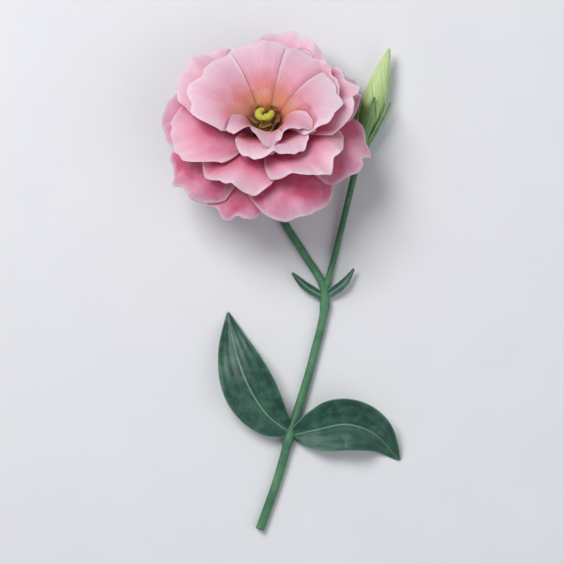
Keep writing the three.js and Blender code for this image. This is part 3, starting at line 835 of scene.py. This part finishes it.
class Leaf(NamedTuple):
    """A pointed blade along a path, folded a little along its midrib, with waved edges."""

    name: str
    path: Path
    half: Callable  # its half width at a share of its length
    size: tuple  # rows and columns of its grid
    nerves: float  # how much its nerves show
    roll: float  # how far it is turned about its midrib at its tip, in degrees
    fold: float
    wave: float
    waves: float

    def middle(self, share, across):
        ahead = self.path.direction(share)
        flat = unit(np.stack([-ahead[..., 1], ahead[..., 0], np.zeros_like(share)], axis=-1))
        up = np.cross(ahead, flat)
        turn = np.radians(self.roll * share)[..., None]
        rolled = flat * cos(turn) + up * sin(turn)
        half = self.half(share)
        side = abs(across)
        fold = self.fold * half * side**1.6
        wave = self.wave * across * across * sin(self.waves * pi * share + across)
        crimp = CRIMP * side**6 * sin(23 * share + 4 * across) * sin(pi * share)
        dip = -DIP * self.nerves * exp(-((across * half / 0.5) ** 2)) * (1 - share)
        quilt = QUILT * self.nerves * cos(2 * pi * side / NERVE_SPACING) * sin(pi * share)
        rise = fold + wave + crimp + dip - quilt
        point = self.path.at(share) + rolled * (across * half)[..., None] + up * rise[..., None]
        point[..., 2] = smooth_max(point[..., 2], LEAF_THICKNESS / 2, PRESS_BLEND)
        return point

    def piece(self):
        share, across = grid(*self.size)
        half = self.half(share)
        keel = self.nerves * KEEL * exp(-((across * half / 0.6) ** 2)) * (1 - 0.75 * share)
        edge = smoothstep(0, 0.12, 1 - abs(across))
        thickness = LEAF_EDGE_THICKNESS + (LEAF_THICKNESS - LEAF_EDGE_THICKNESS) * edge + keel
        vertices, faces = shell(self.middle(share, across), thickness)
        numbers = on_both_sides(share=share, across=across, half=half)
        numbers["back"] = np.repeat([0.0, 1.0], share.size)
        piece = add_mesh(f"{self.name}_skin", vertices, faces, numbers, unwrapped=True)
        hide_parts(self.name)
        return piece


def leaf_half(share):
    return 0.45 + 1.2 * (1 - share) ** 4 + 9.6 * abs(sin(pi * share**0.82))


def bract_half(share):
    return 0.4 + (1 - share) + 0.8 * sin(pi * share)


LEAF = {"half": leaf_half, "size": (150, 61), "nerves": 1, "wave": 0.9}
BRACT = {"half": bract_half, "size": (60, 21), "nerves": 0.4, "roll": 0, "fold": 0.3, "wave": 0.1, "waves": 2}
LEFT_LEAF = [(8.2, -112, 2.5), (0.4, -106, 5.6), (-6.5, -96, 7), (-12, -82, 4.6), (-15.5, -66, -0.4)]
RIGHT_LEAF = [(9.8, -113.4, 2.5), (20, -111, 4.6), (30.5, -109, 8), (41, -112.5, 6), (51, -123, -0.4)]
LEFT_BRACT = [(21, -59.5, 2.3), (14.5, -55.5, 3.6), (9.5, -50.5, 3.4)]
RIGHT_BRACT = [(22.8, -59.5, 2.3), (29.5, -54.5, 3.8), (33.5, -49, 4)]
LEAVES = [
    Leaf("leaf_left", Path(LEFT_LEAF), roll=-10, fold=0.28, waves=5, **LEAF),
    Leaf("leaf_right", Path(RIGHT_LEAF), roll=12, fold=0.26, waves=4.4, **LEAF),
    Leaf("bract_left", Path(LEFT_BRACT), **BRACT),
    Leaf("bract_right", Path(RIGHT_BRACT), **BRACT),
]


SEPAL_RISE = 0.06  # openness by which a sepal stands off the petals in front of it
SEPAL_OPENNESS = 1.3  # the least that it has
SEPAL_CURL = 0.15  # what it adds towards its tip
CALYX_TURN = 18  # degrees round to the first sepal
CALYX_PROFILE = [(0, -7), (1.9, -7), (2.4, -6.6), (3.7, -5.4), (5.6, -3.2), (6.2, -2)]


def sepal_half(share):
    return 0.3 + 1.4 * (1 - share) + 0.9 * sin(pi * share)


def cup_with_sepals(name, cup, sepal_point, turns, to_layout):
    """A calyx as one body. sepal_point takes a share, an across and a direction in the flower's frame."""
    vertices, faces = cup
    numbers = {"share": np.zeros(len(vertices)), "across": np.zeros(len(vertices))}
    piece = add_mesh(f"{name}_skin", to_layout(vertices), faces, numbers)
    share, across = grid(60, 15)
    thickness = 0.3 + 0.35 * (1 - abs(across)) ** 2
    sepals = []
    numbers = on_both_sides(share=share, across=across)
    for n, turn in enumerate(turns):
        vertices, faces = shell(sepal_point(share, across, turn), thickness)
        sepals.append(add_mesh(f"{name}_sepal_{n}", to_layout(vertices), faces, numbers))
    united(piece, sepals)
    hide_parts(name)
    return piece


def sepal_point(share, across, around):
    along = SEPAL_ROOT + share * SEPAL_LENGTH
    reach = np.maximum(along, 0.3)
    keel = 0.5 * (1 - abs(across)) / spread(reach)
    clear = clear_of(len(petals), np.full(share.shape, around), reach)
    openness = SEPAL_RISE + smooth_max(SEPAL_OPENNESS, clear, 0.05) + keel + SEPAL_CURL * share**2
    radius, height = sheet_point(openness, along)
    return pressed(polar(radius, around + across * sepal_half(share) / radius, height))


def calyx_piece():
    turns = np.radians(CALYX_TURN) + full_turn(5)
    rim = RECEPTACLE_FOOT - TOUCH_GAP
    profile = [*CALYX_PROFILE, (5.7, rim), (0, rim)]
    ribs = lambda share, angle: 1 + 0.035 * cos(5 * (angle - turns[0])) * sin(pi * share) ** 2
    return cup_with_sepals("calyx", turned(profile, 60, 60, ribs), sepal_point, turns, bloom_to_layout)


def receptacle_piece():
    """The cone that carries the petals, wide enough to meet their roots."""
    heights = np.array([0.3, 1.5, 3, 4.5, 5.8, 6.8])
    roots = ROOT_RADIUS + ROOT_RADIUS_GAIN / ROOT_DROP * (ROOT_TOP - heights)
    growth = np.interp(heights, (RECEPTACLE_FOOT, ROOT_TOP), RECEPTACLE_GROWTH)
    profile = [(0, RECEPTACLE_FOOT), (3, RECEPTACLE_FOOT), (5.6, RECEPTACLE_FOOT + 0.02)]
    profile += [*zip(roots + growth, heights), (2.7, ROOT_TOP), (1.4, ROOT_TOP), (0, ROOT_TOP)]
    lobes = lambda share, angle: 1 + 0.012 * cos(5 * angle)
    vertices, faces = turned(profile, 60, 50, lobes)
    piece = add_mesh("receptacle_skin", bloom_to_layout(vertices), faces)
    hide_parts("receptacle")
    return piece


# The bud


BUD_LENGTH = float(np.linalg.norm(np.subtract(BUD_TIP, BUD_FOOT)))
BUD_TURN = turn_from_z(BUD_AXIS)
BUD_PROFILE = [(0, 1.9), (0.12, 3.2), (0.35, 4.3), (0.6, 3.9), (0.8, 2.5), (0.94, 1.2), (1, 0.5)]
BUD_PETALS = 5
BUD_WINDING = 4.4  # radians that its petals' edges turn round it from foot to tip
BUD_STEP = 0.1  # height of a wound petal's edge, as a share of the bud's radius
BUD_TIP_HEIGHT = 0.25
BUD_RINGS = 150
BUD_SIDES = 140
BUD_CALYX_TURN = 36  # degrees round to its first sepal
BUD_CALYX_PROFILE = [(0, -5), (1.3, -5), (1.7, -4.6), (2.3, -3.6), (3.3, -1.6), (3.3, -0.4), (0, -TOUCH_GAP)]


def bud_to_layout(points):
    return points @ BUD_TURN.T + BUD_FOOT


def bud_radius(share):
    path = Path([(place, radius / BUD_LENGTH, 0) for place, radius in BUD_PROFILE])
    return np.interp(share, path.points[:, 0], path.points[:, 1] * BUD_LENGTH)


def bud_piece():
    s, a = np.meshgrid(np.linspace(0, 1, BUD_RINGS), full_turn(BUD_SIDES), indexing="ij")
    # 0 at the outer edge of one wound petal, rising to 1 at the next one's
    fold = (BUD_PETALS * a / (2 * pi) + BUD_WINDING * BUD_PETALS / (2 * pi) * s) % 1
    step = smoothstep(0, 0.1, fold) * (1 - fold)
    radius = bud_radius(s) * (0.97 + BUD_STEP * step * smoothstep(0, 0.25, s)) + 0.03 * sin(22 * a)
    ends = [(0, 0, 0), (0, 0, BUD_LENGTH + BUD_TIP_HEIGHT)]
    vertices, faces = rings_closed(polar(radius, a, s * BUD_LENGTH), ends)
    numbers = {"share": np.append(s, [0, 1]), "fold": np.append(fold, [0, 0]), "turn": np.append(a, [0, 0])}
    piece = add_mesh("bud_skin", bud_to_layout(vertices), faces, numbers)
    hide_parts("bud")
    return piece


def bud_sepal_point(share, across, around):
    along = BUD_SEPAL_ROOT + share * BUD_SEPAL_LENGTH
    clearance = 0.7 + 0.4 * (1 - abs(across)) + 1.1 * share**3
    radius = 1.05 * bud_radius(np.clip(along / BUD_LENGTH, 0, 1)) + clearance
    return polar(radius, around + across * sepal_half(share) / radius, along)


def bud_calyx_piece():
    cup = turned(BUD_CALYX_PROFILE, 48, 44)
    turns = np.radians(BUD_CALYX_TURN) + full_turn(5)
    return cup_with_sepals("bud_calyx", cup, bud_sepal_point, turns, bud_to_layout)


# The middle of the bloom


OVARY_PROFILE = [(0, 0), (1.4, 0), (1.8, 0.6), (1.95, 2), (1.6, 4.2), (0.8, 5.8)]  # heights above its foot
STIGMA_ARC = (98, 385)  # degrees from one end of its horseshoe to the other
STIGMA_SIZE = (2.5, 1.95)
STIGMA_RADIUS = 1.55
STIGMA_GRAIN = 0.1
RING_PROFILE = [(2.05, 0), (2.4, -0.02), (2.75, 0), (2.75, 0.5), (2.4, 0.72), (2.05, 0.5)]
RING_SIDES = 60
STAMENS = 5
STAMEN_TURN = 54  # degrees round to the first one
FILAMENT_PATH = [(2.45, 0, OVARY_FOOT + 0.3), (3.3, 0, 10.4), (4.7, 0, 13.9)]
ANTHER_PLACE = (4.75, 0, 14.1)
ANTHER_RADII = (0.62, 2.2, 0.75)  # of each of its two halves
ANTHER_HALF_GAP = 0.48
ANTHER_TURN = 18  # degrees about Z
ANTHER_TILT = -30  # degrees about Y
SLIT_DEPTH = 0.15


def bumps(points, pitch, seed):
    """A smooth random number, about -1 to 1, at each point, with bumps `pitch` millimetres apart."""
    draw = np.random.default_rng(seed)
    total = np.zeros(len(points))
    for _ in range(9):
        direction = unit(draw.normal(size=3)) * 2 * pi / pitch * draw.uniform(0.7, 1.4)
        total += sin(points @ direction + draw.uniform(0, 2 * pi))
    return total / 4.5


def ball(radii, sides, steps):
    """A closed ellipsoid's vertices and faces."""
    down = np.linspace(0, pi, steps)[1:-1]
    d, a = np.meshgrid(down, full_turn(sides), indexing="ij")
    vertices, faces = rings_closed(polar(sin(d), a, -cos(d)), [(0, 0, -1), (0, 0, 1)])
    return vertices * radii, faces


def stigma_radius(share, angle):
    """It narrows towards its ends, and in the shallow cleft between its two lobes."""
    cleft = 1 - 0.34 * exp(-(((share - 0.55) / 0.1) ** 2))
    return STIGMA_RADIUS * cleft * sin(pi * (0.07 + 0.86 * share)) ** 0.45


def pistil_piece():
    groove = lambda share, angle: 1 - 0.1 * abs(cos(angle)) ** 12
    profile = [(radius, OVARY_FOOT + height) for radius, height in OVARY_PROFILE]
    profile += [(0.7, STIGMA_HEIGHT), (0, STIGMA_HEIGHT + 0.4)]
    vertices, faces = turned(profile, 48, 70, groove)
    ovary = add_mesh("pistil_skin", bloom_to_layout(vertices), faces, {"stigma": np.zeros(len(vertices))})
    arc = np.radians(np.linspace(*STIGMA_ARC, 15))
    lift = STIGMA_HEIGHT + 0.5 + 0.25 * cos(2 * (arc - np.radians(150)))
    spine = Path(np.stack([STIGMA_SIZE[0] * cos(arc), STIGMA_SIZE[1] * sin(arc), lift], axis=-1))
    vertices, faces, share, radius_share = tube(spine, stigma_radius, 90, 36)
    outward = unit(vertices - spine.at(share) + 1e-6)
    vertices += STIGMA_GRAIN * (bumps(vertices, 0.55, 7) * radius_share)[:, None] * outward
    lobes = add_mesh("lobes", bloom_to_layout(vertices), faces, {"stigma": np.ones(len(vertices))})
    piece = united(ovary, [lobes])
    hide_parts("pistil")
    return piece


def filament_radius(share, angle):
    return 0.42 - 0.16 * share + 0 * angle


def stamen_pieces():
    angle = full_turn(RING_SIDES)
    rings = np.array([polar(radius, angle, OVARY_FOOT + 0.01 + rise) for radius, rise in RING_PROFILE])
    index = np.arange(len(RING_PROFILE) * RING_SIDES).reshape(-1, RING_SIDES)
    index = np.pad(index, (0, 1), mode="wrap")
    faces = quads_of(index)[:, ::-1].tolist()
    filaments = add_mesh("filaments", bloom_to_layout(rings.reshape(-1, 3)), faces)
    shafts, anther_points, anther_faces, slits, count = [], [], [], [], 0
    for n in range(STAMENS):
        turn = turn_about(2, STAMEN_TURN + 360 / STAMENS * n)
        vertices, faces, _, _ = tube(Path(np.array(FILAMENT_PATH) @ turn.T), filament_radius, 40, 14)
        shafts.append(add_mesh(f"filament_{n}", bloom_to_layout(vertices), faces))
        tilt = turn @ turn_about(2, ANTHER_TURN) @ turn_about(1, ANTHER_TILT)
        for side in (-1, 1):
            vertices, faces = ball(ANTHER_RADII, 30, 40)
            vertices *= (1 + 0.06 * bumps(vertices, 0.6, 20 + n))[:, None]
            slit = exp(-(((vertices[:, 2] - 0.45) / 0.22) ** 2))
            vertices[:, 2] -= SLIT_DEPTH * slit
            vertices[:, 0] += side * ANTHER_HALF_GAP
            anther_points.append(vertices @ tilt.T + np.array(ANTHER_PLACE) @ turn.T)
            anther_faces += [tuple(v + count for v in face) for face in faces]
            slits.append(slit)
            count += len(vertices)
    filaments = united(filaments, shafts)
    numbers = {"slit": np.concatenate(slits)}
    anthers = add_mesh("anthers", bloom_to_layout(np.vstack(anther_points)), anther_faces, numbers)
    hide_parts("stamens")
    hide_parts("stamens")
    return filaments, anthers


BUD_COLOURS = {0: "#8fae5f", 0.25: "#a9c677", 0.6: "#c3da96", 0.88: "#cfe0a6", 1: "#c9d8a0"}
CUT_COLOURS = {0: "#4d7f50", 0.1: "#7fa468", 0.3: "#cfdcae", 1: "#dfe6c4"}


def green_look(name, dark, light, pale, roughness, waxy):
    """A leaf's, sepal's or stem's look, its colour, roughness and relief. pale is the colour of its fine
    net and of its waxy bloom, and waxy how much of the bloom shows."""
    look = Look(name, soft=(0.08, 0.001, (0.4, 1.0, 0.3)), Specular_IOR_Level=0.4)
    place = look.position()
    patches = look.noise(place, 90, 4)
    colour = look.mix(look.scaled(patches, 0.3, 0.7), dark, light)
    bloom = look.scaled(look.noise(place, 260, 5, 0.6), 0.42, 0.7, 0, waxy)
    colour = look.mix(bloom, colour, pale)
    net = look.scaled(look.cells(1400, "DISTANCE_TO_EDGE"), 0, 0.09, 1, 0)
    colour = look.mix(look.times(net, 0.18), colour, pale)
    shine = look.scaled(patches, 0.3, 0.7, roughness, roughness + 0.14)
    height = look.math("MULTIPLY_ADD", net, -0.5, look.noise(place, 1300))
    return look, colour, shine, look.bump(height, 0.00003)


def leaf_look():
    look, colour, *surface = green_look("leaf", "#193f33", "#2a5645", "#62907c", 0.36, 0.28)
    share, half, back = map(look.attribute, ("share", "half", "back"))
    side = look.math("ABSOLUTE", look.attribute("across"))
    to_nerve = look.math("PINGPONG", look.math("ADD", side, NERVE_SPACING / 2), NERVE_SPACING / 2)
    colour = look.mix(look.scaled(to_nerve, 0, 0.035, 0.22, 0), colour, "#547f6b")
    midrib = look.scaled(look.times(side, half), 0.1, 0.55, 0.6, 0)
    fading = look.scaled(share, 0.3, 1, 1, 0.3)
    colour = look.mix(look.times(midrib, fading), colour, "#96b89c")
    margin = look.scaled(side, 0.955, 1, 0, 0.55)
    colour = look.mix(margin, colour, "#9db9a0")
    colour = look.mix(look.times(back, 0.6), colour, "#7c9f8d")
    return look.wear(colour, *surface)


def stem_look():
    look, colour, *surface = green_look("stem", "#2f6546", "#4a8059", "#88ad8e", 0.42, 0.2)
    cut = look.attribute("cut")
    colour = look.mix(look.scaled(cut, 0, 0.06), colour, look.ramp(cut, CUT_COLOURS))
    return look.wear(colour, *surface)


def sepal_look():
    look, colour, *surface = green_look("sepal", "#4f8352", "#74a264", "#b4cc98", 0.45, 0.2)
    side = look.math("ABSOLUTE", look.attribute("across"))
    colour = look.mix(look.scaled(side, 0.6, 1, 0, 0.5), colour, "#b9d28c")
    tip = look.scaled(look.attribute("share"), 0.8, 1, 0, 0.6)
    return look.wear(look.mix(tip, colour, "#47663a"), *surface)


def bud_look():
    look = Look("bud", soft=(0.25, 0.0015, (0.8, 1.0, 0.4)), Specular_IOR_Level=0.4)
    share, fold, turn = map(look.attribute, ("share", "fold", "turn"))
    x, y = (look.times(look.math(wave, turn), 9) for wave in ("SINE", "COSINE"))
    streaks = look.noise(look.vector(x, look.times(share, 1.6), y), 1, 3)
    streaked = look.scaled(streaks, 0.42, 0.62, 0, 0.4)
    colour = look.mix(streaked, look.ramp(share, BUD_COLOURS), "#86a85a")
    # Painted shade in a dark line just below each wound petal's edge
    edge_shade_mask = look.math("MAXIMUM", look.scaled(fold, 0, 0.12, 1, 0), look.scaled(fold, 0.94, 1))
    edge_shade = look.times(edge_shade_mask, look.scaled(share, 0.05, 0.3, 0.2, 0.75))
    colour = look.mix(edge_shade, colour, "#7da052")
    # Painted highlight along the crest beside each wound petal's edge
    edge_highlight = look.scaled(look.away(fold, 0.17), 0, 0.06, 0.45, 0)
    colour = look.mix(edge_highlight, colour, "#e3edc6")
    return look.wear(colour, look.scaled(streaks, 0.3, 0.7, 0.38, 0.5), look.bump(streaks, 0.00015))


def pistil_look():
    look = Look("pistil", soft=(0.2, 0.001, (0.8, 1.0, 0.3)))
    grains = look.cells(2600)
    tip = look.mix(look.scaled(grains, 0, 0.6), "#e9e672", "#b3b832")
    body = look.mix(look.noise(look.position(), 600), "#7d9a3f", "#a5b85c")
    colour = look.mix(look.attribute("stigma"), body, tip)
    return look.wear(colour, 0.5, look.bump(grains, 0.00016))


def filament_look():
    look = Look("filament", soft=(0.2, 0.001))
    grain = look.noise(look.position(), 1500)
    return look.wear(look.mix(grain, "#d9c56a", "#c2a648"), 0.45, look.bump(grain, 0.00005))


def anther_look():
    look = Look("anther")
    grains = look.cells(5200)
    pollen = look.mix(look.scaled(grains, 0, 0.6), "#e3a43c", "#945a1e")
    colour = look.mix(look.attribute("slit"), "#35130a", pollen)
    return look.wear(colour, 0.75, look.bump(grains, 0.0001))


def receptacle_look():
    """Dark with painted shade where it closes the throat, and green at its foot."""
    look = Look("receptacle")
    grain = look.noise(look.position(), 900, 4)
    along = look.node("ShaderNodeVectorMath", Vector=look.position())
    along.operation = "DOT_PRODUCT"
    along.inputs[1].default_value = BLOOM_AXIS
    root = ((0, 0, ROOT_HEIGHT) + LAYOUT_SHIFT) @ BLOOM_AXIS
    top = look.scaled(along.outputs["Value"], (root + 1) * MM, (root + 3) * MM)
    foot = look.mix(grain, "#8aa763", "#b7c184")
    # Painted shade deep in the throat
    throat_shade = look.mix(grain, "#3b1a14", "#6b6a34")
    return look.wear(look.mix(top, foot, throat_shade), 0.6, look.bump(grain, 0.0001))


# Stage


CAMERA_DISTANCE = 1.2
SENSOR_WIDTH = 36
LENGTH_IN_VIEW = 0.9  # share of the picture's width that the part's length takes
LIGHTS = (("Key", (-0.35, 0.45, 0.8), 0.45, 7.3), ("Fill", (0.6, -0.3, 0.7), 0.8, 2.2))
WORLD_COLOUR = (0.86, 0.9, 1.0, 1.0)
WORLD_STRENGTH = 0.3
FLOOR_REACH = 3.0


def camera_and_lights():
    scene = bpy.context.scene
    low, high = map(np.array, cad_box)
    x, y, z = (low + high) / 2
    data = bpy.data.cameras.new("Camera")
    data.sensor_width = SENSOR_WIDTH
    view_width = (high[1] - low[1]) / LENGTH_IN_VIEW
    data.lens = SENSOR_WIDTH * CAMERA_DISTANCE / view_width
    scene.camera = added("Camera", data, (x, y, z + CAMERA_DISTANCE))
    for name, place, size, power in LIGHTS:
        light = bpy.data.lights.new(name, "AREA")
        light.size = size
        light.energy = power
        lamp = added(name, light, place)
        lamp.rotation_euler = (-Vector(place)).to_track_quat("-Z", "Y").to_euler()
    world = bpy.data.worlds.new("Studio")
    world.use_nodes = True
    background = world.node_tree.nodes["Background"]
    background.inputs["Color"].default_value = WORLD_COLOUR
    background.inputs["Strength"].default_value = WORLD_STRENGTH
    scene.world = world
    scene.view_settings.view_transform = "Standard"


def floor():
    reach = FLOOR_REACH
    mesh = bpy.data.meshes.new("floor")
    corners = [(-reach, -reach, 0), (reach, -reach, 0), (reach, reach, 0), (-reach, reach, 0)]
    mesh.from_pydata(corners, [], [(0, 1, 2, 3)])
    look = Look("floor")
    grain = look.noise(look.position(), 40, 3)
    mesh.materials.append(look.wear(look.mix(grain, "#e0e0e3", "#e6e6e8"), 0.8))
    added("floor", mesh)


def dress(piece, look):
    """Puts a look on a piece, and lets it ride on the part's one body."""
    piece.data.materials.clear()
    piece.data.materials.append(look)
    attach(piece, "root")


camera_and_lights()
floor()
look = petal_look()
for petal in petals:
    dress(petal_piece(petal), look)
look = leaf_look()
for leaf in LEAVES:
    dress(leaf.piece(), look)
look = sepal_look()
dress(calyx_piece(), look)
dress(bud_calyx_piece(), look)
dress(stem_piece(), stem_look())
dress(bud_piece(), bud_look())
dress(pistil_piece(), pistil_look())
filaments, anthers = stamen_pieces()
dress(filaments, filament_look())
dress(anthers, anther_look())
dress(receptacle_piece(), receptacle_look())
